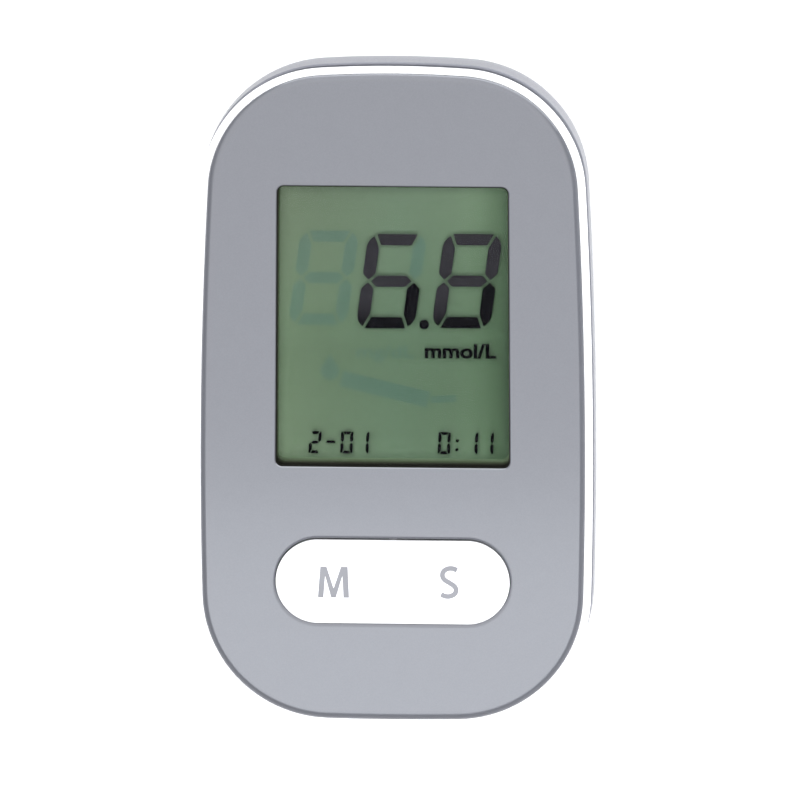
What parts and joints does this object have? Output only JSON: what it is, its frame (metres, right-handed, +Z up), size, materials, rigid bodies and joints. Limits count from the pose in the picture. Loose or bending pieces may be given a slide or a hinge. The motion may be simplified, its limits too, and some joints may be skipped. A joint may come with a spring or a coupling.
{
  "type": "blood glucose meter",
  "caption": "Palm-sized meter with a framed silver face, a reflective number display, a rocking pill key, a strip slot and a sliding battery door.",
  "frame": {"origin": "middle of the underside, with the meter lying on its back", "axes": "+Z up out of the display, +Y along the length towards the display end, +X to the reader's right"},
  "size_m": [0.0522, 0.0874, 0.0191],
  "materials": {
    "silver_panel": "fine metallic silver paint, satin",
    "white_gloss": "white gloss moulding",
    "grey_shell": "satin light grey moulding",
    "dark_plastic": "satin",
    "clear_lens": "clear and polished",
    "display_glass": "clear, faintly green",
    "display_ground": "green-grey reflective film",
    "foam": "fine closed-cell foam",
    "conductive_rubber": "matte",
    "circuit_board": "solder-masked laminate",
    "chip_body": "moulded epoxy",
    "bright_steel": "nickel plated",
    "gold_contact": "gold plated spring",
    "battery_can": "sleeved can"
  },
  "bodies": {
    "housing": {"front_panel": "silver_panel", "mid_frame": "white_gloss", "rear_cover": "grey_shell", "display_lens": "clear_lens", "lcd_gasket": "foam", "lcd_front_glass": "display_glass", "lcd_rear_glass": "display_glass", "lcd_reflector": "display_ground", "lcd_holder": "dark_plastic", "elastomer_strip_upper": "conductive_rubber", "elastomer_strip_lower": "conductive_rubber", "main_board": "circuit_board", "microcontroller": "chip_body", "memory_chip": "chip_body", "analog_chip": "chip_body", "crystal": "bright_steel", "buzzer": "chip_body", "key_switch_m_body": "dark_plastic", "key_switch_s_body": "dark_plastic", "strip_port": "dark_plastic", "battery_cell_left": "battery_can", "battery_cell_right": "battery_can", "terminal_negative": "bright_steel", "terminal_positive": "bright_steel", "terminal_bridge": "bright_steel", "terminal_spring": "bright_steel", "bridge_spring": "bright_steel", "strip_contact_1": "gold_contact", "case_screw_1": "bright_steel", "board_screw_1": "bright_steel", "strip_contact_2": "gold_contact", "case_screw_2": "bright_steel", "board_screw_2": "bright_steel", "strip_contact_3": "gold_contact", "case_screw_3": "bright_steel", "board_screw_3": "bright_steel", "strip_contact_4": "gold_contact", "case_screw_4": "bright_steel", "board_screw_4": "bright_steel"},
    "key": {"rocker_key": "white_gloss"},
    "door": {"battery_door": "grey_shell"},
    "m_plunger": {"key_switch_m_plunger": "dark_plastic"},
    "s_plunger": {"key_switch_s_plunger": "dark_plastic"}
  },
  "joints": [
    {"name": "key_rock", "type": "hinge", "parent": "housing", "child": "key", "pos_m": [0, -0.0245, 0.01705], "axis": [0, 1, 0], "range_deg": [-2, 2], "stiffness_Nm_per_rad": 0.6},
    {"name": "m_press", "type": "slide", "parent": "housing", "child": "m_plunger", "axis": [0, 0, -1], "range_m": [0, 0.00025], "stiffness_N_per_m": 4000},
    {"name": "s_press", "type": "slide", "parent": "housing", "child": "s_plunger", "axis": [0, 0, -1], "range_m": [0, 0.00025], "stiffness_N_per_m": 4000},
    {"name": "door_slide", "type": "slide", "parent": "housing", "child": "door", "axis": [0, 1, 0], "range_m": [0, 0.006]}
  ]
}
